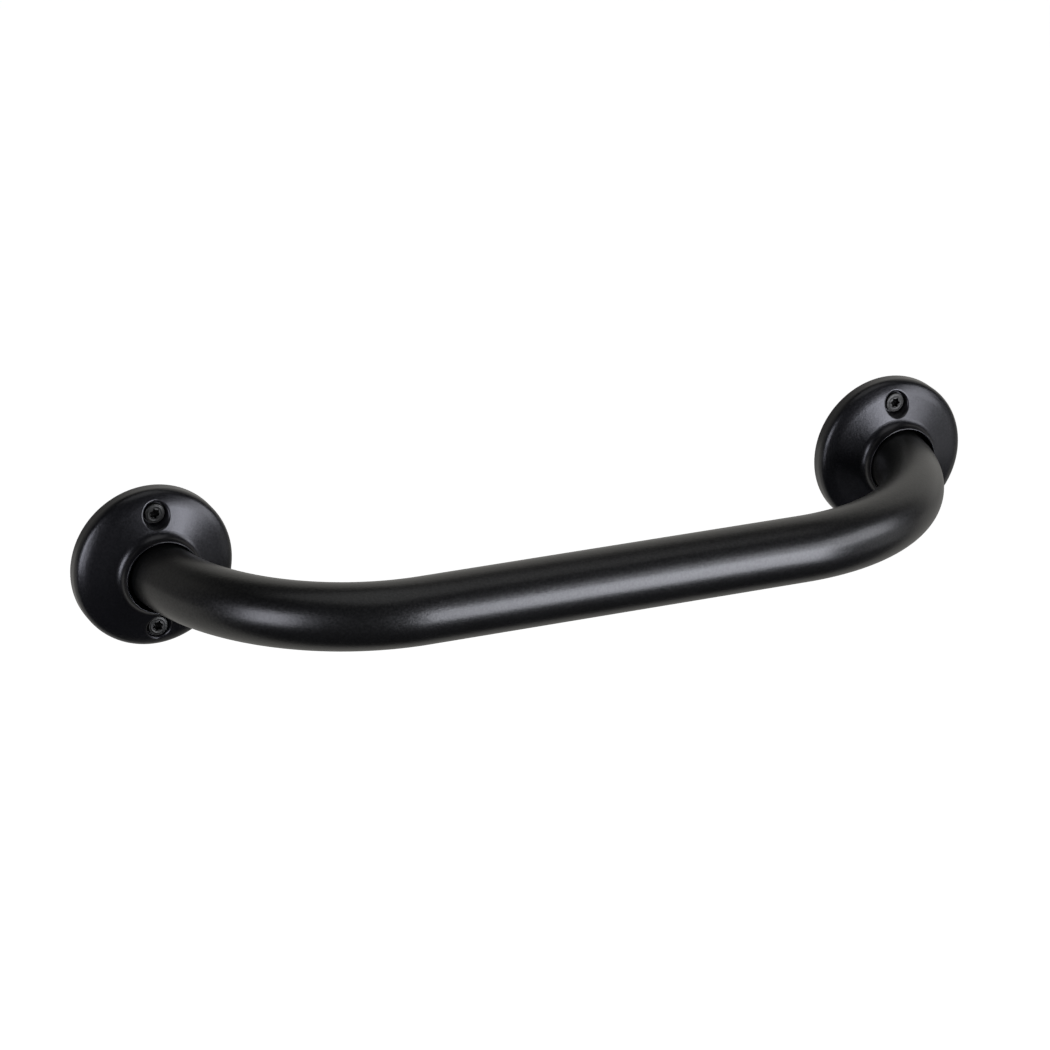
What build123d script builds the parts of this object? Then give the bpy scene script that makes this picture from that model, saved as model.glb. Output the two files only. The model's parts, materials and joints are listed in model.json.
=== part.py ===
from build123d import *
import os
from math import asin, atan2, cos, radians, tan

# Wall grab bar: a bent tube between two round wall flanges. The wall is the plane y = 0 and the bar
# stands out from it towards -Y. X runs along the bar, Z is up, and the origin is midway between the
# two flanges. Sizes are in millimetres, and "height" means the distance out from the wall.

# Bar
CENTRE_DISTANCE = 305.0     # between the centres of the two flanges
TUBE_OD = 25.0
TUBE_WALL = 1.5
BEND_RADIUS = 76.5          # at the tube's centre line
STRAIGHT_END = 4.5          # tube between the wall and the start of a bend

# Mounting plates, welded round the tube's ends
PLATE_THICKNESS = 3.0
PLATE_EDGE = 0.5            # chamfer on the plate's front edge
PLATE_CLEARANCE = 1.5       # between the plate's edge and the inside of the flange
WELD_GAP = 0.05             # round the tube, in the plate's hole
WELD_LEG = 2.0              # weld bead on the front of the plate

# Cover flanges
FLANGE_HEIGHT = 16.3        # to the lip of the neck
FLANGE_WALL = 2.0
RIM_CORNER = 5.5            # height where the side meets the shoulder, before rounding
RIM_ROUND = 3.8
SHOULDER_WIDTH = 3.5        # from the side in to the face, before rounding
SHOULDER_ANGLE = 34.0       # degrees
SHOULDER_ROUND = 16.0
RIM_LAND = 4.2              # from a screw pocket's floor out to the rim
NECK_CLEARANCE = 0.12       # between the leaning tube and the lip, on the tight side
NECK_WALL = 0.6
NECK_RISE = 4.0             # neck above the face, before rounding
NECK_FILLET = 3.8
NECK_LAND = 3.83            # from the neck out to a screw pocket's floor
LIP_ROUND = 0.25

# Screw pockets in the flanges
POCKET_CLEARANCE = 0.35     # between a screw's head and the wall of its pocket
POCKET_DEPTH = 1.75         # at the pocket's shallow side, next to the rim
POCKET_DRAFT = 12.0         # degrees
POCKET_ROUND = 0.8
BOSS_WALL = 2.0             # round a pocket, under the flange

# Fixing screws
HEAD_DIAMETER = 7.7
HEAD_HEIGHT = 1.6
HEAD_ROUND = 0.5
SCREW_DIAMETER = 4.2        # outside of the thread, behind the wall plane
SCREW_NECK_DIAMETER = 3.6   # plain shank between the head and the wall plane
SCREW_LENGTH = 19.0         # under the head
SCREW_POINT = 4.0
SCREW_POINT_DIAMETER = 0.6
SCREW_CLEARANCE = 0.2       # round the thread, in the flange and the plate
RECESS_ACROSS_LOBES = 3.94
RECESS_ACROSS_HOLLOWS = 2.80
RECESS_HOLLOW_ROUND = 0.865
RECESS_FLOOR = 0.3          # the recess's floor, above the underside of the head
RECESS_POINT_DIAMETER = 2.4 # of the drilled cone in that floor
RECESS_POINT_ANGLE = 118.0  # degrees
RECESS_LOBES = 6

# A rounding takes up at most this share of the metal beside its edge
MOST_ROUNDING = 0.9


def tube_reach(height):
    """How far the tube's side reaches from its wall-end axis, at a height within the bend."""
    lean = asin((height - STRAIGHT_END) / BEND_RADIUS)
    return BEND_RADIUS * (1 - cos(lean)) + TUBE_OD / 2 / cos(lean)


PROJECTION = STRAIGHT_END + BEND_RADIUS     # from the wall to the tube's centre line
TUBE_R = TUBE_OD / 2
NECK_BORE_R = tube_reach(FLANGE_HEIGHT) + NECK_CLEARANCE
NECK_R = NECK_BORE_R + NECK_WALL
POCKET_FLOOR_R = HEAD_DIAMETER / 2 + POCKET_CLEARANCE
SCREW_OFFSET = NECK_R + NECK_LAND + POCKET_FLOOR_R      # from the flange's centre
FLANGE_R = SCREW_OFFSET + POCKET_FLOOR_R + RIM_LAND
SCREW_HOLE_R = SCREW_DIAMETER / 2 + SCREW_CLEARANCE
PLATE_R = FLANGE_R - FLANGE_WALL - PLATE_CLEARANCE

# The face of the flange is a cone from the shoulder inside the rim up to the foot of the neck
NECK_FOOT = FLANGE_HEIGHT - NECK_RISE
SHOULDER_R = FLANGE_R - SHOULDER_WIDTH
SHOULDER_TOP = RIM_CORNER + SHOULDER_WIDTH * tan(radians(SHOULDER_ANGLE))
FACE_ANGLE = atan2(NECK_FOOT - SHOULDER_TOP, SHOULDER_R - NECK_R)


def face_height(radius):
    """Height of the flange's face at a distance from the flange's axis."""
    return SHOULDER_TOP + (SHOULDER_R - radius) * tan(FACE_ANGLE)


POCKET_FLOOR = face_height(SCREW_OFFSET + POCKET_FLOOR_R) - POCKET_DEPTH

# Each flange is made with its axis up Z, and then laid against the wall
ENDS = {"left": -CENTRE_DISTANCE / 2, "right": CENTRE_DISTANCE / 2}
SCREW_PLACES = [Pos(0, side * SCREW_OFFSET, 0) for side in (1, -1)]
FROM_BASE = (Align.CENTER, Align.CENTER, Align.MIN)


def at_end(x):
    """Place of a flange on the wall: its Z axis points out from the wall, and its Y axis up."""
    return Pos(x, 0, 0) * Rot(90, 0, 0)


def turned(*corners):
    """Solid of revolution about Z, from corners given as radius, height and rounding."""
    points = [(radius, height) for radius, height, _ in corners]
    roundings = [rounding for _, _, rounding in corners]
    outline = FilletPolyline(*points, radius=roundings, close=True)
    return revolve(Plane.XZ * make_face(outline), Axis.Z)


def post(radius, bottom, top):
    """Upright cylinder between two heights."""
    return Pos(0, 0, bottom) * Cylinder(radius, top - bottom, align=FROM_BASE)


def grab_tube():
    """The bent tube, open at both ends."""
    half = CENTRE_DISTANCE / 2
    corners = [(-half, 0, 0), (-half, -PROJECTION, 0), (half, -PROJECTION, 0), (half, 0, 0)]
    path = FilletPolyline(*corners, radius=BEND_RADIUS)
    ring = Circle(TUBE_R) - Circle(TUBE_R - TUBE_WALL)
    start = Plane(origin=corners[0], z_dir=(0, -1, 0))
    return sweep(start * ring, path=path)


def mounting_plate():
    """Disc with a hole for the tube, two screw holes and the weld bead round the tube."""
    hole = TUBE_R + WELD_GAP
    disc = turned(
        (hole, 0, 0),
        (PLATE_R, 0, 0),
        (PLATE_R, PLATE_THICKNESS - PLATE_EDGE, 0),
        (PLATE_R - PLATE_EDGE, PLATE_THICKNESS, 0),
        (hole + WELD_LEG, PLATE_THICKNESS, 0),
        (hole, PLATE_THICKNESS + WELD_LEG, 0),
    )
    for place in SCREW_PLACES:
        disc -= place * post(SCREW_HOLE_R, 0, PLATE_THICKNESS)
    return disc


def flange_body():
    """Outside form of the flange, with the neck's bore through it."""
    slope = radians(SHOULDER_ANGLE)
    neck_turn = tan((radians(90) - FACE_ANGLE) / 2)
    rim_turn = tan((radians(90) - slope) / 2)
    shoulder_turn = tan((slope - FACE_ANGLE) / 2)
    shoulder_half = MOST_ROUNDING * SHOULDER_WIDTH / cos(slope) / 2
    lip_round = min(LIP_ROUND, MOST_ROUNDING * NECK_WALL / 2)
    neck_fillet = min(NECK_FILLET, MOST_ROUNDING * (NECK_RISE - lip_round) / neck_turn)
    rim_round = min(RIM_ROUND, MOST_ROUNDING * RIM_CORNER / rim_turn, shoulder_half / rim_turn)
    shoulder_round = min(SHOULDER_ROUND, shoulder_half / shoulder_turn)
    return turned(
        (NECK_BORE_R, 0, 0),
        (FLANGE_R, 0, 0),
        (FLANGE_R, RIM_CORNER, rim_round),
        (SHOULDER_R, SHOULDER_TOP, shoulder_round),
        (NECK_R, NECK_FOOT, neck_fillet),
        (NECK_R, FLANGE_HEIGHT, lip_round),
        (NECK_BORE_R, FLANGE_HEIGHT, lip_round),
    )


def flange_hollow():
    """Space under the flange, a wall's thickness inside it, less the two screw bosses."""
    drop = FLANGE_WALL / cos(FACE_ANGLE)
    side = FLANGE_R - FLANGE_WALL
    top = face_height(NECK_BORE_R) - drop
    hollow = turned(
        (0, 0, 0),
        (side, 0, 0),
        (side, face_height(side) - drop, RIM_ROUND - FLANGE_WALL),
        (NECK_BORE_R, top, 0),
        (0, top, 0),
    )
    for place in SCREW_PLACES:
        hollow -= place * post(POCKET_FLOOR_R + BOSS_WALL, PLATE_THICKNESS, FLANGE_HEIGHT)
    return hollow


def screw_pocket():
    """Drafted pocket with a flat floor, open upwards."""
    depth = FLANGE_HEIGHT - POCKET_FLOOR
    top_r = POCKET_FLOOR_R + depth * tan(radians(POCKET_DRAFT))
    return Pos(0, 0, POCKET_FLOOR) * Cone(POCKET_FLOOR_R, top_r, depth, align=FROM_BASE)


def is_pocket_mouth(edge):
    """True for the edges where a pocket's wall meets the flange's face."""
    middle = edge @ 0.5
    across = abs(abs(middle.Y) - SCREW_OFFSET)
    above_floor = edge.bounding_box().min.Z > POCKET_FLOOR + POCKET_DEPTH / 2
    return above_floor and across < POCKET_FLOOR_R + FLANGE_WALL and middle.Z < NECK_FOOT


def cover_flange():
    """Domed cover with its neck, bosses and screw pockets."""
    flange = flange_body() - flange_hollow()
    for place in SCREW_PLACES:
        flange -= place * screw_pocket()
    half_turn = tan((radians(90 - POCKET_DRAFT) + FACE_ANGLE) / 2)
    mouths = [edge for edge in flange.edges() if is_pocket_mouth(edge)]
    flange = fillet(mouths, min(POCKET_ROUND, MOST_ROUNDING * POCKET_DEPTH / half_turn))
    for place in SCREW_PLACES:
        flange -= place * post(SCREW_HOLE_R, 0, FLANGE_HEIGHT)
    return flange


def recess():
    """Six-lobed driver recess, from the top of the head down to the drilled cone in its floor."""
    outline = Circle(RECESS_ACROSS_LOBES / 2)
    hollow_centre = RECESS_ACROSS_HOLLOWS / 2 + RECESS_HOLLOW_ROUND
    for place in PolarLocations(hollow_centre, RECESS_LOBES):
        outline -= place * Circle(RECESS_HOLLOW_ROUND)
    lobes = Pos(0, 0, RECESS_FLOOR) * extrude(outline, HEAD_HEIGHT - RECESS_FLOOR)
    point_r = RECESS_POINT_DIAMETER / 2
    point_depth = point_r / tan(radians(RECESS_POINT_ANGLE / 2))
    point = Pos(0, 0, RECESS_FLOOR - point_depth) * Cone(0, point_r, point_depth, align=FROM_BASE)
    return lobes + point


def screw():
    """Screw with its head's underside at z = 0, its point down."""
    head_r = HEAD_DIAMETER / 2
    neck_r = SCREW_NECK_DIAMETER / 2
    thread_r = SCREW_DIAMETER / 2
    point_r = SCREW_POINT_DIAMETER / 2
    body = turned(
        (0, HEAD_HEIGHT, 0),
        (head_r, HEAD_HEIGHT, min(HEAD_ROUND, MOST_ROUNDING * HEAD_HEIGHT)),
        (head_r, 0, 0),
        (neck_r, 0, 0),
        (neck_r, -POCKET_FLOOR, 0),
        (thread_r, -POCKET_FLOOR, 0),
        (thread_r, SCREW_POINT - SCREW_LENGTH, 0),
        (point_r, -SCREW_LENGTH, 0),
        (0, -SCREW_LENGTH, 0),
    )
    return body - recess()


def fixing_screws():
    """The four screws, seated on the floors of their pockets."""
    seat = Pos(0, 0, POCKET_FLOOR)
    one = screw()
    return Compound(
        children=[at_end(x) * place * seat * one for x in ENDS.values() for place in SCREW_PLACES]
    )


def save(name, shape):
    export_step(shape, os.path.join("parts", name + ".step"))


os.makedirs("parts", exist_ok=True)
save("grab_tube", grab_tube())
save("fixing_screws", fixing_screws())
for end, x in ENDS.items():
    save(end + "_mounting_plate", at_end(x) * mounting_plate())
    save(end + "_cover_flange", at_end(x) * cover_flange())
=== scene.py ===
import json
from math import cos, pi, radians, sin, sqrt, tau

import bmesh
import bpy
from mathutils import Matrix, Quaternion, Vector


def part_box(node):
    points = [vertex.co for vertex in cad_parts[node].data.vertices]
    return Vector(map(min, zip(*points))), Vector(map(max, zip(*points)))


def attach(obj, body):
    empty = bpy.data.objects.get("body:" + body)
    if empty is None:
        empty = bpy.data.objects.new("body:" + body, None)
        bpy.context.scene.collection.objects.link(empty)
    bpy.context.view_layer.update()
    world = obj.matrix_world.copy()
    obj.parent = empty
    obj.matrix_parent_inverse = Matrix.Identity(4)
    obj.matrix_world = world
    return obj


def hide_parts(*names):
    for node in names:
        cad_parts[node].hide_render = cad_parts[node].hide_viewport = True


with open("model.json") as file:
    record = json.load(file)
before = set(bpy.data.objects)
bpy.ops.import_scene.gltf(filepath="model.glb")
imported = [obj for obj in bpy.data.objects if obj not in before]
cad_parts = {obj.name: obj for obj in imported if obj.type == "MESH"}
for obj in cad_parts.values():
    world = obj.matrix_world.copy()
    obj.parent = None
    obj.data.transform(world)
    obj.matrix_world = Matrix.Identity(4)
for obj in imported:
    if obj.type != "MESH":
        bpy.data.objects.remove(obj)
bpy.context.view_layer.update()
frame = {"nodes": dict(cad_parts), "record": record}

# Looks of the wall grab bar. Sizes are in metres, in the part's own frame: the wall is the plane y = 0,
# the bar stands out from it towards -Y, X runs along the bar and Z is up.

MILLIMETRE = 0.001
UP = Vector((0, 0, 1))
SHARP_ANGLE = radians(40)               # an edge that turns by more is shaded sharp

# Tube, from the frame and the bend
TUBE_LOW, TUBE_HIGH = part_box("grab_tube")
TUBE_R = (TUBE_HIGH.z - TUBE_LOW.z) / 2
TUBE_WALL = 0.0015
TUBE_END_BEVEL = 0.0002
END_X = TUBE_HIGH.x - TUBE_R            # from the middle of the bar to a flange's axis
PROJECTION = -TUBE_LOW.y - TUBE_R       # from the wall to the tube's centre line
BEND_R = 0.0765
TUBE_SIDES = 96
BEND_STEPS = 48
MIDDLE_STEPS = 40

# Screws, from the frame and the record's hole pattern
SCREWS_LOW, SCREWS_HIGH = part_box("fixing_screws")
PATTERN = frame["record"]["mounts"][0]["dims"]
SCREW_OFFSET = PATTERN["spacing_y_mm"] * MILLIMETRE / 2
HEAD_TOP = -SCREWS_LOW.y                # heights are measured out from the wall
SCREW_TIP = -SCREWS_HIGH.y
HEAD_R = 0.00385
HEAD_HEIGHT = 0.0016
HEAD_ROUND = 0.0005
HEAD_ROUND_STEPS = 6
SCREW_NECK_R = 0.0018
THREAD_R = PATTERN["stud_r_mm"] * MILLIMETRE
THREAD_ROOT_R = 0.0015
THREAD_PITCH = 0.0014
THREAD_ROWS = 160
POINT_LENGTH = 0.004
POINT_R = 0.0003
RECESS_R = 0.00197                      # out to the lobes
RECESS_HOLLOW_R = 0.000865              # of the six rounds that stand between the lobes
RECESS_HOLLOW_PLACE = 0.002265
RECESS_LOBES = 6
RECESS_DEPTH = 0.0013
RECESS_FLOOR_SHARE = 0.97               # size of the recess at its floor, as a share of its outline
RECESS_POINT = 0.0007                   # depth of the drilled cone in its floor
RECESS_CHAMFER = 0.00012
SCREW_SIDES = 72
SCREW_TURNS = (10, 40, 25, 5)           # degrees that each screw's recess is turned by

# Coats and the screws' finish
COAT_IOR = 1.6
NOISE_MIDDLE = (0.3, 0.7)               # range that most of a noise's values lie in
CLOUD_SIZE = 0.02
RING_PITCH = 0.0011                     # between the turned rings on a screw's head
RING_SLOPE = 0.12                       # of the rings' flanks
HEAD_SHINE = 0.5                        # specular level of the flat top of a screw's head
RECESS_SHADE_SHINE = 0.03                     # specular level of its recess and side, cut low as painted shade where the recess and the pocket shade them

# Camera
CAMERA_PLACE = Vector((-0.62257, -1.44087, 0.62178))
CAMERA_AIM = Vector((-0.03650, -0.08100, 0.02705))
CAMERA_ROLL = radians(0.248)
CAMERA_LENS = 151.5                     # millimetres, on a sensor 36 mm wide
SENSOR_WIDTH = 36.0

# Studio: a glow given for the left and the right changes smoothly in between
FLOOR_Z = -0.90
FLOOR_SIZE = 16.0
FLOOR_GLOW = 0.96                       # added to the lamps' light on the floor, for the camera alone
FLOOR_BACK_GLOW = (0.55, 0.4)           # of the floor's back part in gloss, left and right
FLOOR_SWEEP = 0.6                       # half the width over which that changes
FLOOR_BACK_EDGE = 0.10                  # half the depth over which the back part sets in
BACKDROP_GLOW = (0.25, 0.6)             # of the backdrop in gloss, left and right
BACKDROP_SWEEP = 0.25                   # half the range of the direction's X over which that changes
BACKDROP_SIDES = (0.05, 0.35)           # the direction's Y where the backdrop sets in
BACKDROP_TOP = (0.85, 0.65)             # the direction's Z where it ends
WHITE = (1, 1, 1, 1)
BLACK = (0, 0, 0, 1)
WARM_WHITE = (1.0, 0.98, 0.93, 1)
FLOOR_GREY = (0.8, 0.8, 0.8, 1)
ROOM_GREY = (0.05, 0.05, 0.05, 1)
BAR_MIDDLE = Vector((0, -0.06, 0))
WATTS_PER_RADIANCE = 4.0                # for each square metre of a lamp


def add(tree, kind, **values):
    """New node, with values for its inputs by name."""
    node = tree.nodes.new(kind)
    for name, value in values.items():
        node.inputs[name].default_value = value
    return node


def calculate(tree, operation, first, second):
    """Result of a math node, from a socket and either another socket or a number."""
    node = tree.nodes.new("ShaderNodeMath")
    node.operation = operation
    tree.links.new(first, node.inputs[0])
    if isinstance(second, bpy.types.NodeSocket):
        tree.links.new(second, node.inputs[1])
    else:
        node.inputs[1].default_value = second
    return node.outputs["Value"]


def stretch(tree, value, start, end, low, high, smooth=False):
    """Value carried over from the range between start and end to the one between low and high."""
    node = tree.nodes.new("ShaderNodeMapRange")
    node.interpolation_type = "SMOOTHSTEP" if smooth else "LINEAR"
    node.inputs["From Min"].default_value = start
    node.inputs["From Max"].default_value = end
    node.inputs["To Min"].default_value = low
    node.inputs["To Max"].default_value = high
    tree.links.new(value, node.inputs["Value"])
    return node.outputs["Result"]


def ramp_up(tree, value, start, end):
    """Smooth step from 0 to 1 between two values."""
    return stretch(tree, value, start, end, 0, 1, smooth=True)


def axes_of(tree, output):
    """The X, Y and Z of a texture coordinate, as a node's outputs."""
    place = tree.nodes.new("ShaderNodeTexCoord")
    axes = tree.nodes.new("ShaderNodeSeparateXYZ")
    tree.links.new(place.outputs[output], axes.inputs[0])
    return axes.outputs


def noise(tree, place, size, detail):
    """Noise with blots of about the given size in metres."""
    node = add(tree, "ShaderNodeTexNoise", Scale=1 / size, Detail=detail)
    tree.links.new(place.outputs["Object"], node.inputs["Vector"])
    return node.outputs["Fac"]


def spread(tree, value, low, high):
    """The middle of a noise's values, stretched to the range from low to high."""
    return stretch(tree, value, *NOISE_MIDDLE, low, high)


def shades(tree, value, dark, light):
    """Colour between two shades, by a noise's value."""
    ramp = tree.nodes.new("ShaderNodeValToRGB")
    for stop, position, colour in zip(ramp.color_ramp.elements, NOISE_MIDDLE, (dark, light)):
        stop.position = position
        stop.color = (*colour, 1)
    tree.links.new(value, ramp.inputs["Fac"])
    return ramp.outputs["Color"]


def bump(tree, height, distance, under=None):
    """Bumps of a height times a distance in metres, laid over those of another bump node."""
    node = add(tree, "ShaderNodeBump", Strength=1.0, Distance=distance)
    tree.links.new(height, node.inputs["Height"])
    if under is not None:
        tree.links.new(under, node.inputs["Normal"])
    return node.outputs["Normal"]


def coat(name, dark, light, tint, roughness, grain, grain_height, peel, peel_height, shine=None):
    """Satin coat: clouded near-black, with a fine grain over a softer orange peel."""
    material = bpy.data.materials.new(name)
    material.use_nodes = True
    tree = material.node_tree
    shader = tree.nodes["Principled BSDF"]
    shader.inputs["IOR"].default_value = COAT_IOR
    shader.inputs["Specular Tint"].default_value = (*tint, 1)
    place = tree.nodes.new("ShaderNodeTexCoord")
    clouds = noise(tree, place, CLOUD_SIZE, detail=3)
    speckle = noise(tree, place, grain, detail=2)
    ripple = noise(tree, place, peel, detail=1)
    waves = bump(tree, ripple, peel_height)
    links = {
        "Base Color": shades(tree, clouds, dark, light),
        "Roughness": spread(tree, speckle, *roughness),
        "Normal": bump(tree, speckle, grain_height, waves),
    }
    if shine is not None:
        links["Specular IOR Level"] = spread(tree, speckle, *shine)
    for socket, value in links.items():
        tree.links.new(value, shader.inputs[socket])
    return material


def bar_coat():
    """Powder coat of the tube and the plates."""
    return coat(
        "bar_coat",
        dark=(0.0045, 0.0045, 0.0046),
        light=(0.0065, 0.0065, 0.0065),
        tint=(1.0, 1.0, 1.0),
        roughness=(0.28, 0.34),
        grain=0.0009,
        grain_height=0.00003,
        peel=0.003,
        peel_height=0.00002,
        shine=(0.41, 0.59),
    )


def flange_coat():
    """Smoother coat of the cover flanges, a little bluer than the tube's."""
    return coat(
        "flange_coat",
        dark=(0.0042, 0.0042, 0.0050),
        light=(0.0060, 0.0060, 0.0070),
        tint=(0.96, 0.96, 1.0),
        roughness=(0.28, 0.33),
        grain=0.0008,
        grain_height=0.000022,
        peel=0.004,
        peel_height=0.00002,
        shine=(0.43, 0.57),
    )


def turned_rings(tree, axes):
    """Ridges and grooves that turning leaves on a screw's head, round the nearest screw's axis."""
    away = tree.nodes.new("ShaderNodeCombineXYZ")
    for axis, place in (("X", END_X), ("Z", SCREW_OFFSET)):
        one_side = calculate(tree, "ABSOLUTE", axes[axis], 0)
        tree.links.new(calculate(tree, "SUBTRACT", one_side, place), away.inputs[axis])
    radius = tree.nodes.new("ShaderNodeVectorMath")
    radius.operation = "LENGTH"
    tree.links.new(away.outputs["Vector"], radius.inputs[0])
    return calculate(tree, "PINGPONG", radius.outputs["Value"], RING_PITCH / 2)


def screw_finish():
    """Blackened steel of the screws, with turned rings on the heads' flat tops; the gloss is cut low in the
    recesses and below the tops as painted shade.
    """
    material = coat(
        "screw_black",
        dark=(0.002, 0.002, 0.0019),
        light=(0.005, 0.005, 0.0047),
        tint=(1.0, 1.0, 0.95),
        roughness=(0.34, 0.46),
        grain=0.0003,
        grain_height=0.000012,
        peel=0.0011,
        peel_height=0.00002,
    )
    tree = material.node_tree
    shader = tree.nodes["Principled BSDF"]
    axes = axes_of(tree, "Object")
    grain = shader.inputs["Normal"].links[0].from_socket
    rings = bump(tree, turned_rings(tree, axes), RING_SLOPE, grain)
    # painted shade: the specular level drops from the head's flat top to a low one in the recess, on the
    # head's side and below
    shine = stretch(tree, axes["Y"], -HEAD_TOP, -HEAD_TOP + HEAD_ROUND, HEAD_SHINE, RECESS_SHADE_SHINE)
    tree.links.new(rings, shader.inputs["Normal"])
    tree.links.new(shine, shader.inputs["Specular IOR Level"])
    return material


def ringed_mesh(name, rows_of_rings, closed):
    """Object made of quads between neighbouring rings of points; a row that isn't closed gets end caps."""
    shape = bmesh.new()
    for rings in rows_of_rings:
        points = [[shape.verts.new(point) for point in ring] for ring in rings]
        pairs = list(zip(points, points[1:]))
        if closed:
            pairs.append((points[-1], points[0]))
        else:
            shape.faces.new(points[0])
            shape.faces.new(points[-1])
        for first, second in pairs:
            for k in range(len(first)):
                shape.faces.new((first[k - 1], first[k], second[k], second[k - 1]))
    bmesh.ops.recalc_face_normals(shape, faces=shape.faces)
    mesh = bpy.data.meshes.new(name)
    shape.to_mesh(mesh)
    shape.free()
    mesh.shade_smooth()
    mesh.set_sharp_from_angle(angle=SHARP_ANGLE)
    piece = bpy.data.objects.new(name, mesh)
    bpy.context.scene.collection.objects.link(piece)
    return piece


def stand_for(piece, node, material):
    """The piece takes the place of a CAD node, which it hides, with its own material."""
    piece.data.materials.append(material)
    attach(piece, "root")
    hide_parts(node)


def bar_path():
    """Points on the tube's centre line with its direction there, from the left wall end to the right one."""
    bend_start = BEND_R - PROJECTION
    left = [(Vector((-END_X, 0, 0)), Vector((0, -1, 0)))]
    left.append((Vector((-END_X, -TUBE_END_BEVEL, 0)), Vector((0, -1, 0))))
    for step in range(BEND_STEPS + 1):
        turn = pi / 2 * step / BEND_STEPS
        point = Vector((-END_X + BEND_R * (1 - cos(turn)), bend_start - BEND_R * sin(turn), 0))
        left.append((point, Vector((sin(turn), -cos(turn), 0))))
    reach = END_X - BEND_R
    middle = []
    for step in range(1, MIDDLE_STEPS):
        x = reach * (2 * step / MIDDLE_STEPS - 1)
        middle.append((Vector((x, -PROJECTION, 0)), Vector((1, 0, 0))))
    right = [(Vector((-p.x, p.y, 0)), Vector((d.x, -d.y, 0))) for p, d in reversed(left)]
    return left + middle + right


def tube_ring(point, direction, radius):
    """Circle of points across the tube's path."""
    side = direction.cross(UP)
    angles = [tau * k / TUBE_SIDES for k in range(TUBE_SIDES)]
    return [point + radius * (cos(angle) * side + sin(angle) * UP) for angle in angles]


def bar_tube(material):
    """The bent tube, with an outside and an inside wall and a small bevel at its open ends."""
    path = bar_path()
    outside = []
    inside = []
    for index, (point, direction) in enumerate(path):
        bevel = TUBE_END_BEVEL if index in (0, len(path) - 1) else 0
        outside.append(tube_ring(point, direction, TUBE_R - bevel))
        inside.append(tube_ring(point, direction, TUBE_R - TUBE_WALL + bevel))
    piece = ringed_mesh("bar_tube", [outside + inside[::-1]], closed=True)
    stand_for(piece, "grab_tube", material)


def recess_radius(angle):
    """Distance from the screw's axis to the six-lobed outline of its recess."""
    step = tau / RECESS_LOBES
    off = (angle + step / 2) % step - step / 2
    inside = RECESS_HOLLOW_R ** 2 - (RECESS_HOLLOW_PLACE * sin(off)) ** 2
    if inside <= 0:
        return RECESS_R
    return min(RECESS_R, RECESS_HOLLOW_PLACE * cos(off) - sqrt(inside))


def thread_radius(height, angle):
    """Distance from the screw's axis to its thread, behind the wall plane."""
    taper = min(1, (height - SCREW_TIP) / POINT_LENGTH)
    rise = min(1, -height / THREAD_PITCH)
    root = POINT_R + (THREAD_ROOT_R - POINT_R) * taper
    crest = POINT_R + (THREAD_R - POINT_R) * taper
    ridge = max(0, cos(tau * height / THREAD_PITCH + angle)) ** 2
    return root + (crest - root) * ridge * rise


def screw_rings(x, z, turn):
    """Rings of one screw, from the floor of its recess over the head and down to its point."""
    angles = [tau * k / SCREW_SIDES for k in range(SCREW_SIDES)]
    floor = HEAD_TOP - RECESS_DEPTH
    seat = HEAD_TOP - HEAD_HEIGHT
    rows = [
        (lambda angle: RECESS_CHAMFER, floor - RECESS_POINT),
        (lambda angle: recess_radius(angle) * RECESS_FLOOR_SHARE, floor),
        (recess_radius, floor + RECESS_CHAMFER),
        (recess_radius, HEAD_TOP - RECESS_CHAMFER),
        (lambda angle: recess_radius(angle) + RECESS_CHAMFER, HEAD_TOP),
        (lambda angle: RECESS_R + 2 * RECESS_CHAMFER, HEAD_TOP),
    ]
    for step in range(HEAD_ROUND_STEPS + 1):
        lean = pi / 2 * step / HEAD_ROUND_STEPS
        radius = HEAD_R - HEAD_ROUND * (1 - sin(lean))
        rows.append((lambda angle, r=radius: r, HEAD_TOP - HEAD_ROUND * (1 - cos(lean))))
    rows.append((lambda angle: HEAD_R, seat))
    rows.append((lambda angle: SCREW_NECK_R, seat))
    rows.append((lambda angle: SCREW_NECK_R, 0))
    rings = []
    for radius, height in rows:
        rings.append([(radius(angle), angle, height) for angle in angles])
    for step in range(THREAD_ROWS + 1):
        height = SCREW_TIP * step / THREAD_ROWS
        rings.append([(thread_radius(height, angle), angle, height) for angle in angles])
    return [
        [(x + r * cos(angle + turn), -height, z + r * sin(angle + turn)) for r, angle, height in ring]
        for ring in rings
    ]


def threaded_screws(material):
    """The four screws, with six-lobed heads in the flanges' pockets and threads behind the wall plane."""
    places = [(x, z) for x in (-END_X, END_X) for z in (SCREW_OFFSET, -SCREW_OFFSET)]
    rows = [screw_rings(x, z, radians(turn)) for (x, z), turn in zip(places, SCREW_TURNS)]
    piece = ringed_mesh("threaded_screws", rows, closed=False)
    stand_for(piece, "fixing_screws", material)


def dress_nodes(names, material):
    """Puts a material on CAD nodes that stay as they are."""
    for name in names:
        mesh = frame["nodes"][name].data
        mesh.materials.clear()
        mesh.materials.append(material)


def ray_kinds(tree):
    """Light path outputs: a camera ray, and a ray that shows the background in a gloss or a glass."""
    path = tree.nodes.new("ShaderNodeLightPath")
    seen = calculate(tree, "MAXIMUM", path.outputs["Is Glossy Ray"], path.outputs["Is Transmission Ray"])
    return path.outputs["Is Camera Ray"], seen


def choose(tree, share, first, second):
    """Mix of two shaders: the second one's share is given by a value."""
    node = tree.nodes.new("ShaderNodeMixShader")
    tree.links.new(share, node.inputs[0])
    tree.links.new(first, node.inputs[1])
    tree.links.new(second, node.inputs[2])
    return node.outputs["Shader"]


def glow(tree, kind, colour, strength):
    """Plain glow of a background or an emission node."""
    return add(tree, kind, Color=colour, Strength=strength).outputs[0]


def sweep(tree, kind, across, half_width, strengths):
    """Warm white glow that changes from left to right."""
    left, right = [glow(tree, kind, WARM_WHITE, strength) for strength in strengths]
    return choose(tree, ramp_up(tree, across, -half_width, half_width), left, right)


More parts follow.
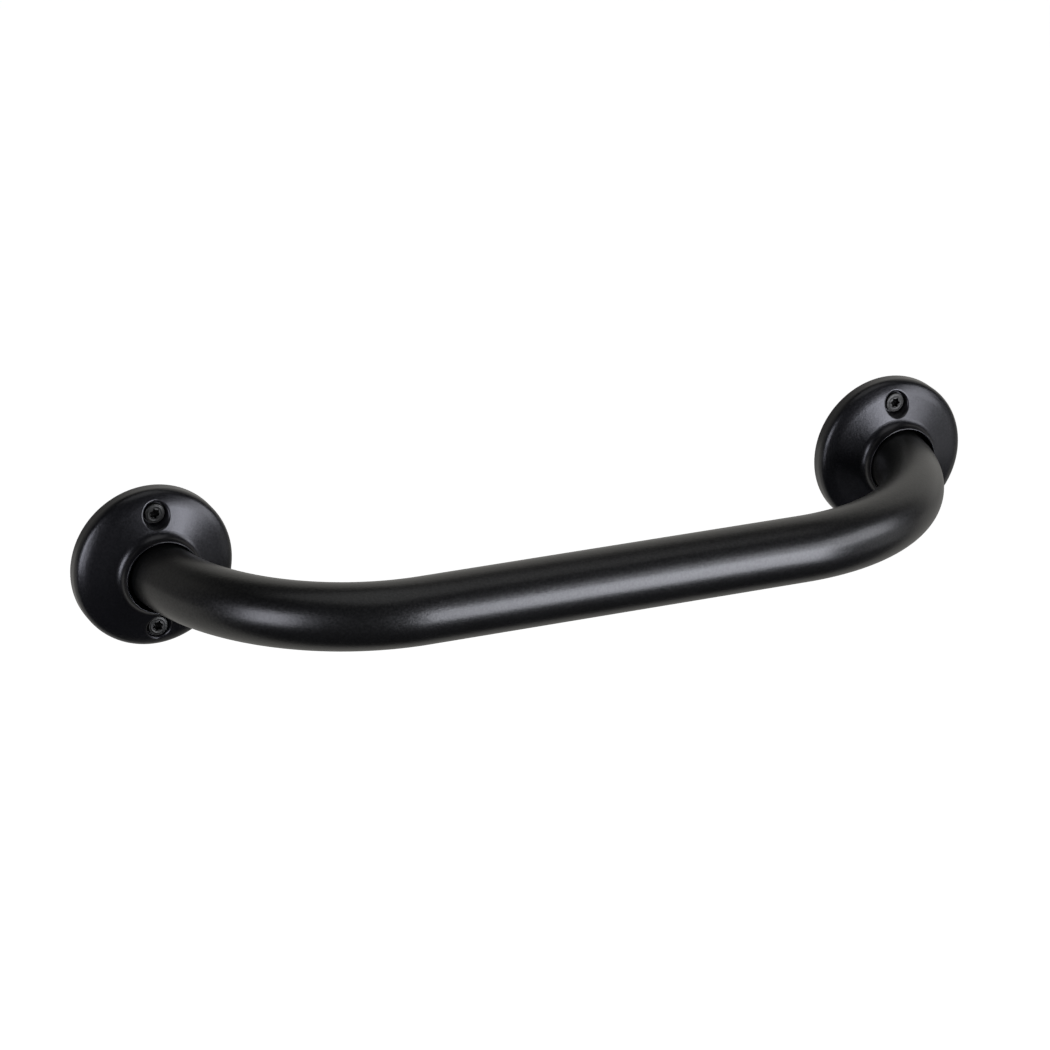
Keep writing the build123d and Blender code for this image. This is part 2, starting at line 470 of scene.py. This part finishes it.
def studio_world():
    """White round about for the camera; for gloss, a warm white backdrop behind and a dark room in front."""
    world = bpy.data.worlds.new("studio")
    bpy.context.scene.world = world
    world.use_nodes = True
    tree = world.node_tree
    tree.nodes.clear()
    kind = "ShaderNodeBackground"
    is_camera, is_gloss = ray_kinds(tree)
    axes = axes_of(tree, "Generated")
    behind = ramp_up(tree, axes["Y"], *BACKDROP_SIDES)
    below_top = ramp_up(tree, axes["Z"], *BACKDROP_TOP)
    mask = calculate(tree, "MULTIPLY", behind, below_top)
    backdrop = sweep(tree, kind, axes["X"], BACKDROP_SWEEP, BACKDROP_GLOW)
    seen = choose(tree, mask, glow(tree, kind, BLACK, 1.0), backdrop)
    lit = choose(tree, is_gloss, glow(tree, kind, ROOM_GREY, 1.0), seen)
    shown = choose(tree, is_camera, lit, glow(tree, kind, WHITE, 1.0))
    output = tree.nodes.new("ShaderNodeOutputWorld")
    tree.links.new(shown, output.inputs["Surface"])


def floor_material():
    """Pale floor that the camera sees as white, less the object's shadow; gloss sees its white back part."""
    material = bpy.data.materials.new("floor")
    material.use_nodes = True
    tree = material.node_tree
    tree.nodes.clear()
    kind = "ShaderNodeEmission"
    is_camera, is_gloss = ray_kinds(tree)
    axes = axes_of(tree, "Object")
    behind = ramp_up(tree, axes["Y"], -FLOOR_BACK_EDGE, FLOOR_BACK_EDGE)
    matt = add(tree, "ShaderNodeBsdfDiffuse", Color=FLOOR_GREY).outputs[0]
    back = sweep(tree, kind, axes["X"], FLOOR_SWEEP, FLOOR_BACK_GLOW)
    both = tree.nodes.new("ShaderNodeAddShader")
    tree.links.new(matt, both.inputs[0])
    tree.links.new(glow(tree, kind, WHITE, FLOOR_GLOW), both.inputs[1])
    seen = choose(tree, behind, glow(tree, kind, BLACK, 0.0), back)
    lit = choose(tree, is_gloss, matt, seen)
    shown = choose(tree, is_camera, lit, both.outputs[0])
    output = tree.nodes.new("ShaderNodeOutputMaterial")
    tree.links.new(shown, output.inputs["Surface"])
    return material


def floor():
    """Plain floor, well below the bar."""
    half = FLOOR_SIZE / 2
    corners = [(-half, -half, FLOOR_Z), (half, -half, FLOOR_Z), (half, half, FLOOR_Z), (-half, half, FLOOR_Z)]
    mesh = bpy.data.meshes.new("floor")
    mesh.from_pydata(corners, [], [(0, 1, 2, 3)])
    mesh.materials.append(floor_material())
    piece = bpy.data.objects.new("floor", mesh)
    bpy.context.scene.collection.objects.link(piece)


def soft_light(name, place, width, height, radiance, colour):
    """Rectangular light at a place, facing the bar."""
    lamp = bpy.data.lights.new(name, "AREA")
    lamp.shape = "RECTANGLE"
    lamp.size = width
    lamp.size_y = height
    lamp.energy = radiance * width * height * WATTS_PER_RADIANCE
    lamp.color = colour
    piece = bpy.data.objects.new(name, lamp)
    piece.location = place
    piece.rotation_mode = "QUATERNION"
    piece.rotation_quaternion = (BAR_MIDDLE - Vector(place)).to_track_quat("-Z", "Y")
    piece.visible_camera = False
    bpy.context.scene.collection.objects.link(piece)


def studio_lights():
    """Tall main light in front at the right, a wide one nearer and higher, a tall one at the left, and weak
    ones far right and overhead."""
    soft_light(
        "main_light",
        place=(0.52, -1.24, -0.055),
        width=0.45,
        height=0.80,
        radiance=7.2,
        colour=(0.90, 0.915, 1.0),
    )
    soft_light(
        "upper_light",
        place=(0.58, -0.56, 0.235),
        width=0.68,
        height=0.34,
        radiance=3.1,
        colour=(0.92, 0.93, 1.0),
    )
    soft_light(
        "right_light",
        place=(1.18, -0.51, -0.24),
        width=0.60,
        height=0.60,
        radiance=0.4,
        colour=(0.97, 0.98, 1.0),
    )
    soft_light(
        "left_light",
        place=(-1.294, -0.807, 0.131),
        width=0.60,
        height=0.92,
        radiance=4.3,
        colour=(0.89, 0.90, 1.0),
    )
    soft_light(
        "top_light",
        place=(0.078, -0.196, 1.492),
        width=1.2,
        height=1.2,
        radiance=0.42,
        colour=(1.0, 1.0, 1.0),
    )


def camera():
    """Camera at the photograph's place."""
    data = bpy.data.cameras.new("camera")
    data.lens = CAMERA_LENS
    data.sensor_width = SENSOR_WIDTH
    piece = bpy.data.objects.new("camera", data)
    piece.location = CAMERA_PLACE
    piece.rotation_mode = "QUATERNION"
    level = (CAMERA_AIM - CAMERA_PLACE).to_track_quat("-Z", "Y")
    piece.rotation_quaternion = level @ Quaternion((0, 0, 1), CAMERA_ROLL)
    bpy.context.scene.collection.objects.link(piece)
    bpy.context.scene.camera = piece


bpy.context.scene.view_settings.view_transform = "Standard"
BAR_COAT = bar_coat()
bar_tube(BAR_COAT)
threaded_screws(screw_finish())
dress_nodes(("left_mounting_plate", "right_mounting_plate"), BAR_COAT)
dress_nodes(("left_cover_flange", "right_cover_flange"), flange_coat())
floor()
studio_world()
studio_lights()
camera()
